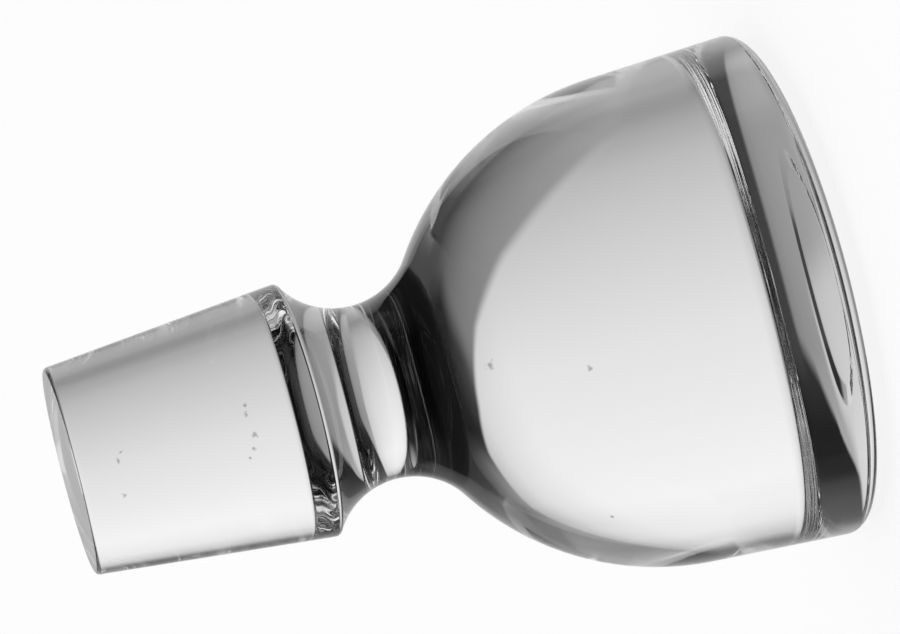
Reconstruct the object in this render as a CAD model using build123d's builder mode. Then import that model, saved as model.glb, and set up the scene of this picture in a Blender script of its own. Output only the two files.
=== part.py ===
from build123d import *
import math
import os

# A stopper pressed from solid clear glass: a tapered plug, a waisted neck and a bell-shaped head.
# It stands on the flat middle of its face. The origin is the centre of that flat and +Z runs up the axis.

# Head: a bell with a slightly flared side, and a face that falls away to the rim from a low flat boss
overall_height = 71.2
head_diameter = 48.0
head_flare_degrees = 3.5
face_flat_diameter = 12.6
boss_foot_diameter = 17.2
boss_height = 0.15
face_fall_radius = 90.0
bell_radius = 26.8
rim_edge_radius = 1.4

# Neck: one round groove between the head and the shoulder of the plug
neck_diameter = 16.5
neck_groove_radius = 7.4
shoulder_edge_radius = 0.55

# Plug: a taper of 1 in 5 on the diameter, widest at the shoulder
plug_diameter = 24.0
plug_length = 22.5
plug_taper = 1 / 5
plug_end_edge_radius = 0.4

head_radius = head_diameter / 2
face_flat_radius = face_flat_diameter / 2
boss_foot_radius = boss_foot_diameter / 2
neck_radius = neck_diameter / 2
plug_radius = plug_diameter / 2
plug_end_radius = plug_radius - plug_taper * plug_length / 2
shoulder_height = overall_height - plug_length

# The face's arc starts level at the foot of the boss and ends on the corner of the rim
face_arc_reach = head_radius - boss_foot_radius
rim_height = boss_height + face_fall_radius - math.sqrt(face_fall_radius**2 - face_arc_reach**2)
rim_corner = Vector(head_radius, rim_height)

# The groove's arc touches the neck's diameter and ends on the corner of the shoulder
groove_radius_from_axis = neck_radius + neck_groove_radius
groove_rise = math.sqrt(neck_groove_radius**2 - (groove_radius_from_axis - plug_radius) ** 2)
groove_centre = Vector(groove_radius_from_axis, shoulder_height - groove_rise)

# The bell's arc is tangent to the flared side and to the groove's arc
flare = math.radians(head_flare_degrees)
side_up = Vector(-math.sin(flare), math.cos(flare))
side_out = Vector(math.cos(flare), math.sin(flare))
groove_out_of_side = (groove_centre - rim_corner).dot(side_out)
bell_to_groove_out = groove_out_of_side + bell_radius
bell_to_groove_up = math.sqrt((bell_radius + neck_groove_radius) ** 2 - bell_to_groove_out**2)
bell_centre = groove_centre - side_out * bell_to_groove_out - side_up * bell_to_groove_up

# Angles of the arcs' ends, in degrees, seen from their own centres
bell_to_groove = groove_centre - bell_centre
tangent_degrees = math.degrees(math.atan2(bell_to_groove.Y, bell_to_groove.X))
shoulder_degrees = math.degrees(math.atan2(groove_rise, plug_radius - groove_radius_from_axis))
face_arc_degrees = math.degrees(math.asin(face_arc_reach / face_fall_radius))
half_turn_degrees = 180
straight_down_degrees = -90

with BuildPart() as stopper:
    with BuildSketch(Plane.XZ) as half_section:
        with BuildLine() as outline:
            face_flat = Line((0, 0), (face_flat_radius, 0))
            boss_side = Line(face_flat @ 1, (boss_foot_radius, boss_height))
            face_fall = CenterArc(
                boss_side @ 1 + Vector(0, face_fall_radius),
                face_fall_radius,
                straight_down_degrees,
                face_arc_degrees,
            )
            bell = CenterArc(
                bell_centre,
                bell_radius,
                head_flare_degrees,
                tangent_degrees - head_flare_degrees,
            )
            neck = CenterArc(
                groove_centre,
                neck_groove_radius,
                half_turn_degrees + tangent_degrees,
                shoulder_degrees - tangent_degrees - half_turn_degrees,
            )
            Line(face_fall @ 1, bell @ 0)
            plug = Line(neck @ 1, (plug_end_radius, overall_height))
            plug_end = Line(plug @ 1, (0, overall_height))
            Line(plug_end @ 1, face_flat @ 0)
        make_face()

        # The three corners of the outline are rounded, as fire polishing leaves them
        rim = half_section.vertices().sort_by_distance((head_radius, rim_height, 0))[0]
        fillet(rim, radius=rim_edge_radius)
        shoulder = half_section.vertices().sort_by_distance((plug_radius, shoulder_height, 0))[0]
        fillet(shoulder, radius=shoulder_edge_radius)
        small_end = half_section.vertices().sort_by_distance((plug_end_radius, overall_height, 0))[0]
        fillet(small_end, radius=plug_end_edge_radius)
    revolve(axis=Axis.Z)

stopper.part.label = "stopper"

os.makedirs("parts", exist_ok=True)
export_step(stopper.part, "parts/stopper.step")
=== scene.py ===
import math

import bmesh
import bpy
from mathutils import Matrix, Vector


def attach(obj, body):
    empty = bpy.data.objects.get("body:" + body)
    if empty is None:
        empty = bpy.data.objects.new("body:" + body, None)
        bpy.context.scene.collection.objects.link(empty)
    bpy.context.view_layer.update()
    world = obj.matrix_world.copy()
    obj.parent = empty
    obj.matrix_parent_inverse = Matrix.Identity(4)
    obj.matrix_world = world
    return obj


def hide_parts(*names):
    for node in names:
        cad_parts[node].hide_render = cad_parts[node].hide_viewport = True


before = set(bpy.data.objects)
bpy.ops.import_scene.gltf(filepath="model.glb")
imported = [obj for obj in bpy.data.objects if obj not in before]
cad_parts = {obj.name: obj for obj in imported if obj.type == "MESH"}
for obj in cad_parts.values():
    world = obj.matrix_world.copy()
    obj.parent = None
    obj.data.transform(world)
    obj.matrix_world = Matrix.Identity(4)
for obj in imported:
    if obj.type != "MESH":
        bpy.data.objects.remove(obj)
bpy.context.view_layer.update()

MM = 0.001
CLOSED_TURN = 2 * math.pi
QUARTER_TURN = math.pi / 2
LATHE_AXIS = Vector((0, 0, 1))
SECTION_AXIS = Vector((0, -1, 0))
WELD_DISTANCE = 1e-4 * MM
SLIMMED = 0.999

# Head: a bell with a slightly flared side, and a face that falls away to the rim from a low flat boss
OVERALL_HEIGHT = 71.2 * MM
HEAD_RADIUS = 48.0 / 2 * MM
HEAD_FLARE = math.radians(3.5)
FACE_FLAT_RADIUS = 12.6 / 2 * MM
BOSS_FOOT_RADIUS = 17.2 / 2 * MM
BOSS_HEIGHT = 0.15 * MM
BOSS_SIDE_TRIM = 0.55 * MM
BOSS_EASING = 0.12 * MM
FACE_FALL_RADIUS = 90.0 * MM
BELL_RADIUS = 26.8 * MM
RIM_EDGE_RADIUS = 1.4 * MM

# Neck: one round groove between the head and the shoulder of the plug
NECK_RADIUS = 16.5 / 2 * MM
NECK_GROOVE_RADIUS = 7.4 * MM
SHOULDER_EDGE_RADIUS = 0.55 * MM

# Plug: a taper of 1 in 5 on the diameter, widest at the shoulder
PLUG_RADIUS = 24.0 / 2 * MM
PLUG_LENGTH = 22.5 * MM
PLUG_TAPER = 1 / 5
PLUG_END_EDGE_RADIUS = 0.4 * MM

# How finely the outline is divided along each of its runs, and around the turn
FLAT_DIVISIONS = 6
BOSS_DIVISIONS = 8
FALL_DIVISIONS = 32
RIM_DIVISIONS = 24
FLARE_DIVISIONS = 8
BELL_DIVISIONS = 60
GROOVE_DIVISIONS = 48
SHOULDER_DIVISIONS = 16
PLUG_DIVISIONS = 16
PLUG_END_DIVISIONS = 12
END_DIVISIONS = 10
LATHE_STEPS = 360

# Glass, with the share of light that passes through both its sides
GLASS_IOR = 1.52
GLASS_PASSES = 0.9166
GLASS_COLOUR = (0.995, 0.998, 0.998, 1.0)

# Faint waves all over, and cords round the axis
WAVE_SCALE = 140.0
WAVE_DETAIL = 1.0
WAVE_DEPTH = 0.002 * MM
CORD_SCALE = 260.0
CORD_DETAIL = 1.0
CORD_DEPTH = 0.001 * MM

# Fine streaks on the rim, which come in over a range of heights and of radii
STREAK_SCALE = 3400.0
STREAK_DETAIL = 3.0
STREAK_LENGTH = 0.0006
STREAK_DEPTH = 0.0012 * MM
STREAK_HEIGHTS = (5.0 * MM, 2.5 * MM)
STREAK_RADII = (20.5 * MM, 22.5 * MM)

# A thin film in clouds, with the heights of the cloudy pattern between which it comes in
FILM_SCALE = 90.0
FILM_DETAIL = 4.0
FILM_RISE = (0.45, 0.75)
FILM_ROUGHNESS = 0.012

# Small pits and specks: height up the axis in mm, turn about it in degrees, and size in mm
SPOTS = (
    (33.4, -91, 0.42), (25.6, -98, 0.34), (25.7, -143, 0.24), (40.2, -97, 0.26),
    (55.3, -81, 0.22), (55.4, -85, 0.25), (55.1, -95, 0.3), (55.5, -101, 0.22), (56.0, -105, 0.26),
    (67.1, -87, 0.22), (67.5, -91, 0.24), (67.6, -109, 0.28),
)
SPOT_CORE = 0.3
SPOT_COLOUR = (0.3, 0.3, 0.3, 1.0)
SPOT_ROUGHNESS = 0.25
SPOT_RAGGED_SCALE = 2200.0
SPOT_RAGGED_DETAIL = 1.0
SPOT_RAGGED_RISE = (0.3, 0.7)
SPOT_RAGGED_FACTORS = (0.6, 1.6)

# The photograph's frame, and where the stopper lies in it
PHOTO_WIDTH = 900
PHOTO_HEIGHT = 634
FOCAL_PIXELS = 5500.0
SENSOR_WIDTH = 36.0
CROWN_PIXEL = (808.1, 278.8)
AXIS_LEAN = math.radians(14.56)
AXIS_RECEDE = math.radians(8.58)
MM_PER_PIXEL = 0.09323
CROWN_DISTANCE = MM_PER_PIXEL * FOCAL_PIXELS * MM

# Stage
FLOOR_SIZE = 40.0
FLOOR_GAP = 0.05 * MM
BACKDROP_WHITE = 0.98
EVEN_LIGHT = 1.0
LIGHT_THROUGH_GLASS = 0.93
LIGHT_BOUNCES = 24
GLASS_BOUNCES = 16

# Greys as a screen shows them, and degrees on a ramp, with an angle of 0 in its middle
WHITE_GREY = 255
SCREEN_GAMMA = 2.2
TURN_DEGREES = 360.0
QUARTER_DEGREES = 90.0
RAMP_MIDDLE = 0.5

# Studio in the glass, in degrees of lift or across: levels as greys, edges as a middle and a softness
WINDOW_BY_LIFT = (
    (-72, 168), (-62, 170), (-50, 152), (-42, 146), (-27, 186),
    (3, 227), (33, 247), (50, 242), (60, 218), (67, 115),
)
WINDOW_FADE_ACROSS = ((-12, 0.73), (-2, 0.87), (15, 0.99), (38, 1.0), (50, 0.88), (62, 0.6))
WINDOW_RIGHT_EDGE_BY_LIFT = ((-40, 22), (-20, 34.5), (-7, 44.5), (8, 51), (18, 57.5), (38, 62), (53, 60))
WINDOW_RIGHT_SOFTNESSES = (2.2, 1.0)
WINDOW_RIGHT_SHARPENS = (-14.0, -2.0)
WINDOW_LEFT_EDGE_BY_LIFT = ((-30, 10), (-5, 12), (2, 13.4), (30, 14.3))
WINDOW_LEFT_SOFTNESSES = (4.0, 1.3)
WINDOW_LEFT_SHARPENS = (-20.0, -4.0)

# Right of the window: a high card, a dark card, a low card, and under them a card that lies flat
HIGH_CARD_BY_LIFT = ((12, 42), (17, 68), (23, 125), (32, 156), (50, 160), (68, 105))
HIGH_CARD_FADE_ACROSS = ((62, 1.0), (67, 0.7), (75, 0.5), (82, 0.1), (95, 0.05))
HIGH_CARD_FADE_ENDS = (32.0, 45.0)
HIGH_CARD_FOOT = (14.5, 4.0)
DARK_CARD_ACROSS = ((47, 120), (51, 66), (57, 34), (68, 20), (74, 9), (120, 16))
DARK_CARD_FOOT = 5.0
DARK_CARD_FOOT_DROP_ACROSS = ((45, 3), (60, 24), (76, 22), (100, 35))
DARK_CARD_FOOT_SOFTNESS = 6.0
LOW_CARD_ACROSS = ((25, 155), (47, 126), (66, 73), (75, 70), (95, 28))
LOW_CARD_FOOT = (-55.0, 4.0)
UNDER_CARD_ACROSS = ((20, 160), (100, 150))
UNDER_CARD_END = (-76.0, 4.0)
UNDER_GREY = 80

# Left of the window: a card with a slanted dark card above it, a post, and a high corner
LEFT_CARD_BY_LIFT = ((-75, 128), (-61, 122), (-53, 166), (-36, 160), (-27, 148), (10, 144), (30, 165))
LEFT_CARD_FADE_ACROSS = ((-33, 0.75), (-25, 0.95), (-15, 1.05))
LEFT_DARK_CARD_BY_LIFT = ((10, 58), (26, 38), (37, 40), (57, 72), (66, 84), (72, 140))
LEFT_DARK_CARD_FOOT_ACROSS = ((-33, 8.5), (-24, 14.5), (-18, 23.5), (-14.5, 42))
LEFT_DARK_CARD_FOOT_SOFTNESS = 3.5
LEFT_POST_FOOT = (-63.0, 5.0)
LEFT_POST_TOP = (14.0, 4.0)
LEFT_POST_SIDE = (-31.8, 1.8)
LEFT_POST_GREY = 66
HIGH_CORNER_FOOT = (62.0, 3.0)
HIGH_CORNER_SIDE = (-56.0, 4.0)
HIGH_CORNER_GREY = 110

# The dark room behind the camera
BEHIND_EDGE = (118.0, 15.0)
BEHIND_GREY = 20


def last_vertex(grown):
    """The one vertex at the end of what an operator grew."""
    (tip,) = [part for part in grown["geom_last"] if isinstance(part, bmesh.types.BMVert)]
    return tip


def draw_run(outline, pen, end, divisions):
    """Draws the outline straight on from the pen's vertex to an end point, and returns the vertex there."""
    step = (Vector((end[0], 0, end[1])) - pen.co) / divisions
    return last_vertex(bmesh.ops.spin(outline, geom=[pen], axis=SECTION_AXIS, dvec=step, steps=divisions))


def draw_arc(outline, pen, centre, angle, divisions):
    """Draws the outline on from the pen's vertex by an arc about a centre, and returns its end vertex."""
    pivot = (centre[0], 0, centre[1])
    return last_vertex(
        bmesh.ops.spin(outline, geom=[pen], cent=pivot, axis=SECTION_AXIS, angle=angle, steps=divisions)
    )


def direction(angle):
    """A step of length 1 at an angle in the outline's plane."""
    return Vector((math.cos(angle), math.sin(angle)))


def angle_of(step):
    """The angle at which a step in the outline's plane points."""
    return math.atan2(step.y, step.x)


def meet_circle(start, heading, centre, radius):
    """Where a line from a start along a unit heading, or back, meets a circle, at the nearer crossing."""
    from_centre = start - centre
    along = from_centre.dot(heading)
    reach = math.sqrt(along**2 - from_centre.length_squared + radius**2)
    return start + heading * (math.copysign(reach, along) - along)


def stopper_outline():
    """The stopper's half outline, drawn from the centre of the face to the centre of the plug's end."""
    side_out = direction(HEAD_FLARE)
    side_up = direction(HEAD_FLARE + QUARTER_TURN)
    shoulder_height = OVERALL_HEIGHT - PLUG_LENGTH
    plug_slope = math.atan(PLUG_TAPER / 2)
    plug_out = direction(plug_slope)
    plug_up = direction(plug_slope + QUARTER_TURN)
    shoulder_corner = Vector((PLUG_RADIUS, shoulder_height))

    groove_out = NECK_RADIUS + NECK_GROOVE_RADIUS
    groove_rise = math.sqrt(NECK_GROOVE_RADIUS**2 - (groove_out - PLUG_RADIUS) ** 2)
    groove_centre = Vector((groove_out, shoulder_height - groove_rise))

    brow_radius = FACE_FLAT_RADIUS + BOSS_SIDE_TRIM
    foot_radius = BOSS_FOOT_RADIUS - BOSS_SIDE_TRIM
    boss_slope = math.atan2(BOSS_HEIGHT, foot_radius - brow_radius)
    boss_bend = BOSS_EASING / math.tan(boss_slope / 2)
    brow_centre = Vector((brow_radius - BOSS_EASING, boss_bend))
    foot_centre = Vector((foot_radius + BOSS_EASING, BOSS_HEIGHT - boss_bend))
    boss_side_end = foot_centre + boss_bend * direction(boss_slope + QUARTER_TURN)

    face_centre = Vector((BOSS_FOOT_RADIUS, BOSS_HEIGHT + FACE_FALL_RADIUS))
    face_fall = math.sqrt(FACE_FALL_RADIUS**2 - (HEAD_RADIUS - BOSS_FOOT_RADIUS) ** 2)
    rim_corner = Vector((HEAD_RADIUS, face_centre.y - face_fall))

    bell_to_groove_out = (groove_centre - rim_corner).dot(side_out) + BELL_RADIUS
    bell_to_groove_up = math.sqrt((BELL_RADIUS + NECK_GROOVE_RADIUS) ** 2 - bell_to_groove_out**2)
    bell_centre = groove_centre - side_out * bell_to_groove_out - side_up * bell_to_groove_up
    tangent_angle = angle_of(groove_centre - bell_centre)

    inset_rim = rim_corner - side_out * RIM_EDGE_RADIUS
    rim_centre = meet_circle(inset_rim, side_up, face_centre, FACE_FALL_RADIUS - RIM_EDGE_RADIUS)
    rim_angle = angle_of(rim_centre - face_centre)

    inset_corner = shoulder_corner - plug_out * SHOULDER_EDGE_RADIUS
    shoulder_reach = NECK_GROOVE_RADIUS + SHOULDER_EDGE_RADIUS
    shoulder_centre = meet_circle(inset_corner, plug_up, groove_centre, shoulder_reach)
    shoulder_angle = angle_of(shoulder_centre - groove_centre)

    plug_end_height = OVERALL_HEIGHT - PLUG_END_EDGE_RADIUS
    end_corner = shoulder_corner + plug_up * (PLUG_LENGTH / math.cos(plug_slope))
    end_out = end_corner.x - PLUG_END_EDGE_RADIUS * (1 / math.cos(plug_slope) - math.tan(plug_slope))
    end_centre = Vector((end_out, plug_end_height))

    outline = bmesh.new()
    pen = outline.verts.new((0, 0, 0))
    pen = draw_run(outline, pen, (brow_centre.x, 0), FLAT_DIVISIONS)
    pen = draw_arc(outline, pen, brow_centre, boss_slope, BOSS_DIVISIONS)
    pen = draw_run(outline, pen, boss_side_end, BOSS_DIVISIONS)
    pen = draw_arc(outline, pen, foot_centre, -boss_slope, BOSS_DIVISIONS)
    pen = draw_run(outline, pen, (BOSS_FOOT_RADIUS, BOSS_HEIGHT), BOSS_DIVISIONS)
    pen = draw_arc(outline, pen, face_centre, QUARTER_TURN + rim_angle, FALL_DIVISIONS)
    pen = draw_arc(outline, pen, rim_centre, HEAD_FLARE - rim_angle, RIM_DIVISIONS)
    pen = draw_run(outline, pen, bell_centre + side_out * BELL_RADIUS, FLARE_DIVISIONS)
    pen = draw_arc(outline, pen, bell_centre, tangent_angle - HEAD_FLARE, BELL_DIVISIONS)
    pen = draw_arc(outline, pen, groove_centre, shoulder_angle - tangent_angle - math.pi, GROOVE_DIVISIONS)
    pen = draw_arc(outline, pen, shoulder_centre, plug_slope - shoulder_angle + math.pi, SHOULDER_DIVISIONS)
    pen = draw_run(outline, pen, end_centre + plug_out * PLUG_END_EDGE_RADIUS, PLUG_DIVISIONS)
    pen = draw_arc(outline, pen, end_centre, QUARTER_TURN - plug_slope, PLUG_END_DIVISIONS)
    draw_run(outline, pen, (0, OVERALL_HEIGHT), END_DIVISIONS)
    return outline


def lathe(outline):
    """Spins a half outline about the lathe's axis into a closed skin, a little slimmer than the solid."""
    bmesh.ops.spin(
        outline,
        geom=outline.verts[:] + outline.edges[:],
        cent=(0, 0, 0),
        axis=LATHE_AXIS,
        angle=CLOSED_TURN,
        steps=LATHE_STEPS,
        use_merge=True,
        use_duplicate=False,
    )
    bmesh.ops.remove_doubles(outline, verts=outline.verts, dist=WELD_DISTANCE)
    bmesh.ops.scale(outline, verts=outline.verts, vec=(SLIMMED, SLIMMED, 1))
    bmesh.ops.recalc_face_normals(outline, faces=outline.faces)


def piece_from(skin, name, material):
    """Makes an object of the scene from a finished bmesh."""
    for face in skin.faces:
        face.smooth = True
    mesh = bpy.data.meshes.new(name)
    skin.to_mesh(mesh)
    skin.free()
    mesh.materials.append(material)
    piece = bpy.data.objects.new(name, mesh)
    bpy.context.scene.collection.objects.link(piece)
    return piece


def wire(tree, value, socket):
    """Sets a node's input to a number, or links it to another node's output."""
    if isinstance(value, bpy.types.NodeSocket):
        tree.links.new(value, socket)
    else:
        socket.default_value = value


def calc(tree, operation, *values):
    """A Math node's result."""
    node = tree.nodes.new("ShaderNodeMath")
    node.operation = operation
    for socket, value in zip(node.inputs, values):
        wire(tree, value, socket)
    return node.outputs["Value"]


def root_of_squares(tree, first, second):
    """The length of a step that goes so far one way and so far square to it."""
    squares = calc(tree, "ADD", calc(tree, "POWER", first, 2.0), calc(tree, "POWER", second, 2.0))
    return calc(tree, "SQRT", squares)


def parts_of(tree, vector):
    """The three parts of a vector."""
    node = tree.nodes.new("ShaderNodeSeparateXYZ")
    tree.links.new(vector, node.inputs["Vector"])
    return node.outputs


def soft_step(tree, value, start, end):
    """Rises smoothly from 0 at the start to 1 at the end."""
    node = tree.nodes.new("ShaderNodeMapRange")
    node.interpolation_type = "SMOOTHSTEP"
    wire(tree, value, node.inputs["Value"])
    wire(tree, start, node.inputs["From Min"])
    wire(tree, end, node.inputs["From Max"])
    return node.outputs["Result"]


def past_edge(tree, value, middle, softness):
    """Rises smoothly from 0 to 1 across an edge, by its softness to either side."""
    start = calc(tree, "SUBTRACT", middle, softness)
    end = calc(tree, "ADD", middle, softness)
    return soft_step(tree, value, start, end)


def before_edge(tree, value, middle, softness):
    """Falls smoothly from 1 to 0 across an edge, by its softness to either side."""
    return calc(tree, "SUBTRACT", 1.0, past_edge(tree, value, middle, softness))


def blend(tree, share, low, high):
    """Mixes two values by a share."""
    node = tree.nodes.new("ShaderNodeMix")
    node.data_type = "FLOAT"
    wire(tree, share, node.inputs["Factor"])
    wire(tree, low, node.inputs["A"])
    wire(tree, high, node.inputs["B"])
    return node.outputs["Result"]


def ramp(tree, value, stops):
    """Runs straight from stop to stop of an angle in degrees, within half a turn to either side."""
    node = tree.nodes.new("ShaderNodeValToRGB")
    share = calc(tree, "MULTIPLY_ADD", value, 1 / TURN_DEGREES, RAMP_MIDDLE)
    tree.links.new(share, node.inputs["Fac"])
    band = node.color_ramp.elements
    while len(band) < len(stops):
        band.new(RAMP_MIDDLE)
    for element, (angle, height) in zip(band, stops):
        element.position = angle / TURN_DEGREES + RAMP_MIDDLE
        element.color = (height, height, height, 1)
    return node.outputs["Color"]


def places(tree, value, stops):
    """A ramp of angles up to a quarter turn."""
    shares = [(angle, place / QUARTER_DEGREES) for angle, place in stops]
    return calc(tree, "MULTIPLY", ramp(tree, value, shares), QUARTER_DEGREES)


def light_of(grey):
    """The light level of a grey as clear glass shows it."""
    return (grey / WHITE_GREY) ** SCREEN_GAMMA / GLASS_PASSES


def lit(stops):
    """Stops of greys, turned into stops of light levels."""
    return [(angle, light_of(grey)) for angle, grey in stops]


def window_light(tree, lift, across):
    """The window, which fades towards its sides."""
    fade = ramp(tree, across, WINDOW_FADE_ACROSS)
    return calc(tree, "MULTIPLY", ramp(tree, lift, lit(WINDOW_BY_LIFT)), fade)


def right_cards(tree, lift, across):
    """The high, dark and low cards right of the window, the flat card under them and what lies below it."""
    fade_ends = soft_step(tree, lift, *HIGH_CARD_FADE_ENDS)
    high_fade = blend(tree, fade_ends, ramp(tree, across, HIGH_CARD_FADE_ACROSS), 1.0)
    high_card = calc(tree, "MULTIPLY", ramp(tree, lift, lit(HIGH_CARD_BY_LIFT)), high_fade)
    dark_card = ramp(tree, across, lit(DARK_CARD_ACROSS))
    low_card = ramp(tree, across, lit(LOW_CARD_ACROSS))
    under_card = ramp(tree, across, lit(UNDER_CARD_ACROSS))
    dark_foot = calc(tree, "SUBTRACT", DARK_CARD_FOOT, places(tree, across, DARK_CARD_FOOT_DROP_ACROSS))
    level = blend(tree, past_edge(tree, lift, dark_foot, DARK_CARD_FOOT_SOFTNESS), low_card, dark_card)
    level = blend(tree, past_edge(tree, lift, *HIGH_CARD_FOOT), level, high_card)
    level = blend(tree, past_edge(tree, lift, *LOW_CARD_FOOT), under_card, level)
    return blend(tree, past_edge(tree, lift, *UNDER_CARD_END), light_of(UNDER_GREY), level)


def left_cards(tree, lift, across):
    """The card left of the window and the slanted dark card above it, the post and the high corner."""
    fade = ramp(tree, across, LEFT_CARD_FADE_ACROSS)
    card = calc(tree, "MULTIPLY", ramp(tree, lift, lit(LEFT_CARD_BY_LIFT)), fade)
    dark_card = ramp(tree, lift, lit(LEFT_DARK_CARD_BY_LIFT))
    dark_foot = places(tree, across, LEFT_DARK_CARD_FOOT_ACROSS)
    level = blend(tree, past_edge(tree, lift, dark_foot, LEFT_DARK_CARD_FOOT_SOFTNESS), card, dark_card)

    above_foot = past_edge(tree, lift, *LEFT_POST_FOOT)
    above_top = past_edge(tree, lift, *LEFT_POST_TOP)
    post_height = calc(tree, "SUBTRACT", above_foot, above_top)
    post = calc(tree, "MULTIPLY", post_height, before_edge(tree, across, *LEFT_POST_SIDE))
    level = blend(tree, post, level, light_of(LEFT_POST_GREY))

    corner_height = past_edge(tree, lift, *HIGH_CORNER_FOOT)
    corner = calc(tree, "MULTIPLY", corner_height, before_edge(tree, across, *HIGH_CORNER_SIDE))
    return blend(tree, corner, level, light_of(HIGH_CORNER_GREY))


def studio_in_glass(tree, lift, across):
    """The studio's light by direction: the window, the cards to its right and left, and the dark room."""
    right_edge = places(tree, lift, WINDOW_RIGHT_EDGE_BY_LIFT)
    right_sharpness = soft_step(tree, lift, *WINDOW_RIGHT_SHARPENS)
    right_softness = blend(tree, right_sharpness, *WINDOW_RIGHT_SOFTNESSES)
    past_right = past_edge(tree, across, right_edge, right_softness)
    level = blend(tree, past_right, window_light(tree, lift, across), right_cards(tree, lift, across))

    left_edge = calc(tree, "MULTIPLY", places(tree, lift, WINDOW_LEFT_EDGE_BY_LIFT), -1.0)
    left_sharpness = soft_step(tree, lift, *WINDOW_LEFT_SHARPENS)
    left_softness = blend(tree, left_sharpness, *WINDOW_LEFT_SOFTNESSES)
    past_left = past_edge(tree, across, left_edge, left_softness)
    level = blend(tree, past_left, left_cards(tree, lift, across), level)

    behind = past_edge(tree, calc(tree, "ABSOLUTE", across), *BEHIND_EDGE)
    return blend(tree, behind, level, light_of(BEHIND_GREY))


def glass_ray(tree, path):
    """1 for a ray that the glass has mirrored or let through, and 0 for any other."""
    return calc(tree, "MAXIMUM", path.outputs["Is Glossy Ray"], path.outputs["Is Transmission Ray"])


def studio_light():
    """White for the camera, even light for the floor, and the studio for what the glass shows."""
    world = bpy.data.worlds.new("studio")
    world.use_nodes = True
    tree = world.node_tree
    tree.nodes.clear()
    path = tree.nodes.new("ShaderNodeLightPath")
    toward = tree.nodes.new("ShaderNodeTexCoord").outputs["Generated"]
    to_side, to_back, to_top = parts_of(tree, toward)
    lift = calc(tree, "DEGREES", calc(tree, "ARCSINE", to_side))
    to_foot = calc(tree, "MULTIPLY", to_top, -1.0)
    across = calc(tree, "DEGREES", calc(tree, "ARCTAN2", to_foot, to_back))

    from_floor = calc(tree, "GREATER_THAN", path.outputs["Diffuse Depth"], 0.0)
    in_glass = blend(tree, from_floor, studio_in_glass(tree, lift, across), LIGHT_THROUGH_GLASS)
    shown = blend(tree, glass_ray(tree, path), EVEN_LIGHT, in_glass)
    shown = blend(tree, path.outputs["Is Camera Ray"], shown, BACKDROP_WHITE)
    background = tree.nodes.new("ShaderNodeBackground")
    tree.links.new(shown, background.inputs["Color"])
    output = tree.nodes.new("ShaderNodeOutputWorld")
    tree.links.new(background.outputs["Background"], output.inputs["Surface"])
    bpy.context.scene.world = world


def clouds(tree, place, scale, detail):
    """A cloudy pattern's height at a place."""
    node = tree.nodes.new("ShaderNodeTexNoise")
    tree.links.new(place, node.inputs["Vector"])
    node.inputs["Scale"].default_value = scale
    node.inputs["Detail"].default_value = detail
    return node.outputs["Fac"]


def raised(tree, height, depth, under=None):
    """The skin's direction where a pattern of some depth stands on it, over the patterns already there."""
    node = tree.nodes.new("ShaderNodeBump")
    tree.links.new(height, node.inputs["Height"])
    node.inputs["Strength"].default_value = 1.0
    node.inputs["Distance"].default_value = depth
    if under is not None:
        tree.links.new(under, node.inputs["Normal"])
    return node.outputs["Normal"]


def spots(tree, height, turn, radius, ragged):
    """The share of small ragged pits and specks, each at its height up the axis and its turn about it."""
    share = 0.0
    for up, about, size in SPOTS:
        off_up = calc(tree, "SUBTRACT", height, up * MM)
        off_about = calc(tree, "MULTIPLY", calc(tree, "SUBTRACT", turn, math.radians(about)), radius)
        reach = calc(tree, "MULTIPLY", root_of_squares(tree, off_up, off_about), ragged)
        spot = soft_step(tree, reach, size * MM, size * MM * SPOT_CORE)
        share = calc(tree, "MAXIMUM", spot, share)
    return share


def socket_of(sockets, identifier):
    """The socket with an identifier, on a node where several sockets share a name."""
    (found,) = [socket for socket in sockets if socket.identifier == identifier]
    return found


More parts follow.
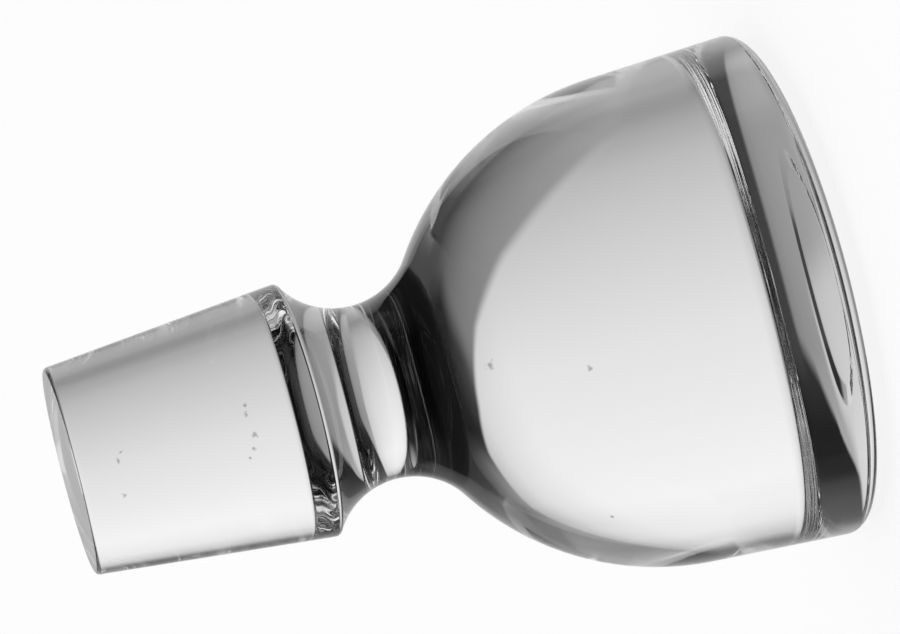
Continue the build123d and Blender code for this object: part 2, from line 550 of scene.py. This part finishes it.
def clear_glass():
    """Clear pressed glass, with faint waves and cords, fine streaks on the rim, a film and small marks."""
    material = bpy.data.materials.new("clear_glass")
    material.use_nodes = True
    tree = material.node_tree
    shader = tree.nodes["Principled BSDF"]
    shader.inputs["Transmission Weight"].default_value = 1.0
    shader.inputs["IOR"].default_value = GLASS_IOR

    place = tree.nodes.new("ShaderNodeTexCoord").outputs["Object"]
    side, back, height = parts_of(tree, place)
    radius = root_of_squares(tree, side, back)
    turn = calc(tree, "ARCTAN2", back, side)
    joined = tree.nodes.new("ShaderNodeCombineXYZ")
    tree.links.new(radius, joined.inputs["X"])
    tree.links.new(height, joined.inputs["Y"])
    tree.links.new(calc(tree, "MULTIPLY", turn, STREAK_LENGTH), joined.inputs["Z"])
    round_axis = joined.outputs["Vector"]

    waves = clouds(tree, place, WAVE_SCALE, WAVE_DETAIL)
    cords = clouds(tree, round_axis, CORD_SCALE, CORD_DETAIL)
    streaks = clouds(tree, round_axis, STREAK_SCALE, STREAK_DETAIL)
    near_face = soft_step(tree, height, *STREAK_HEIGHTS)
    near_rim = calc(tree, "MULTIPLY", near_face, soft_step(tree, radius, *STREAK_RADII))
    skin = raised(tree, waves, WAVE_DEPTH)
    skin = raised(tree, cords, CORD_DEPTH, skin)
    skin = raised(tree, calc(tree, "MULTIPLY", streaks, near_rim), STREAK_DEPTH, skin)
    tree.links.new(skin, shader.inputs["Normal"])

    rough_edge = clouds(tree, place, SPOT_RAGGED_SCALE, SPOT_RAGGED_DETAIL)
    ragged = blend(tree, soft_step(tree, rough_edge, *SPOT_RAGGED_RISE), *SPOT_RAGGED_FACTORS)
    marks = spots(tree, height, turn, radius, ragged)
    film = soft_step(tree, clouds(tree, place, FILM_SCALE, FILM_DETAIL), *FILM_RISE)
    film_roughness = calc(tree, "MULTIPLY", film, FILM_ROUGHNESS)
    mark_roughness = calc(tree, "MULTIPLY", marks, SPOT_ROUGHNESS)
    tree.links.new(calc(tree, "MAXIMUM", film_roughness, mark_roughness), shader.inputs["Roughness"])

    colour = tree.nodes.new("ShaderNodeMix")
    colour.data_type = "RGBA"
    tree.links.new(marks, socket_of(colour.inputs, "Factor_Float"))
    socket_of(colour.inputs, "A_Color").default_value = GLASS_COLOUR
    socket_of(colour.inputs, "B_Color").default_value = SPOT_COLOUR
    tree.links.new(socket_of(colour.outputs, "Result_Color"), shader.inputs["Base Color"])
    return material


def pale_floor():
    """A wide pale floor, which shows the shadow and lets what the glass shows pass."""
    material = bpy.data.materials.new("pale_floor")
    material.use_nodes = True
    tree = material.node_tree
    tree.nodes.clear()
    path = tree.nodes.new("ShaderNodeLightPath")
    pale = tree.nodes.new("ShaderNodeBsdfDiffuse")
    pale.inputs["Color"].default_value = (BACKDROP_WHITE, BACKDROP_WHITE, BACKDROP_WHITE, 1)
    through = tree.nodes.new("ShaderNodeBsdfTransparent")
    mix = tree.nodes.new("ShaderNodeMixShader")
    share, seen_plainly, seen_in_glass = mix.inputs
    tree.links.new(glass_ray(tree, path), share)
    tree.links.new(pale.outputs["BSDF"], seen_plainly)
    tree.links.new(through.outputs["BSDF"], seen_in_glass)
    output = tree.nodes.new("ShaderNodeOutputMaterial")
    tree.links.new(mix.outputs["Shader"], output.inputs["Surface"])
    sheet = bmesh.new()
    bmesh.ops.create_grid(sheet, x_segments=1, y_segments=1, size=FLOOR_SIZE / 2)
    bmesh.ops.translate(sheet, verts=sheet.verts, vec=(0, 0, -FLOOR_GAP))
    floor = piece_from(sheet, "floor", material)


def photograph_camera():
    """A camera that sees the stopper lie in its frame as the photograph shows it."""
    data = bpy.data.cameras.new("photograph")
    data.sensor_width = SENSOR_WIDTH
    data.lens = SENSOR_WIDTH * FOCAL_PIXELS / PHOTO_WIDTH
    data.clip_start = MM
    camera = bpy.data.objects.new("photograph", data)
    bpy.context.scene.collection.objects.link(camera)
    axis = Vector((
        -math.cos(AXIS_LEAN) * math.cos(AXIS_RECEDE),
        -math.sin(AXIS_LEAN) * math.cos(AXIS_RECEDE),
        math.sin(AXIS_RECEDE),
    ))
    crown = CROWN_DISTANCE * Vector((
        (CROWN_PIXEL[0] - PHOTO_WIDTH / 2) / FOCAL_PIXELS,
        (PHOTO_HEIGHT / 2 - CROWN_PIXEL[1]) / FOCAL_PIXELS,
        -1,
    ))
    away = (crown - axis * crown.dot(axis)).normalized()
    turn = Matrix((away.cross(axis), away, axis))
    camera.matrix_world = Matrix.Translation(turn @ -crown) @ turn.to_4x4()
    bpy.context.scene.camera = camera


outline = stopper_outline()
lathe(outline)
stopper = piece_from(outline, "clear_stopper", clear_glass())
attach(stopper, "root")
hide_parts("stopper")

pale_floor()
studio_light()
photograph_camera()
bpy.context.scene.view_settings.view_transform = "Standard"
bpy.context.scene.cycles.max_bounces = LIGHT_BOUNCES
bpy.context.scene.cycles.glossy_bounces = GLASS_BOUNCES
bpy.context.scene.cycles.transmission_bounces = GLASS_BOUNCES
bpy.context.scene.cycles.blur_glossy = 0.0
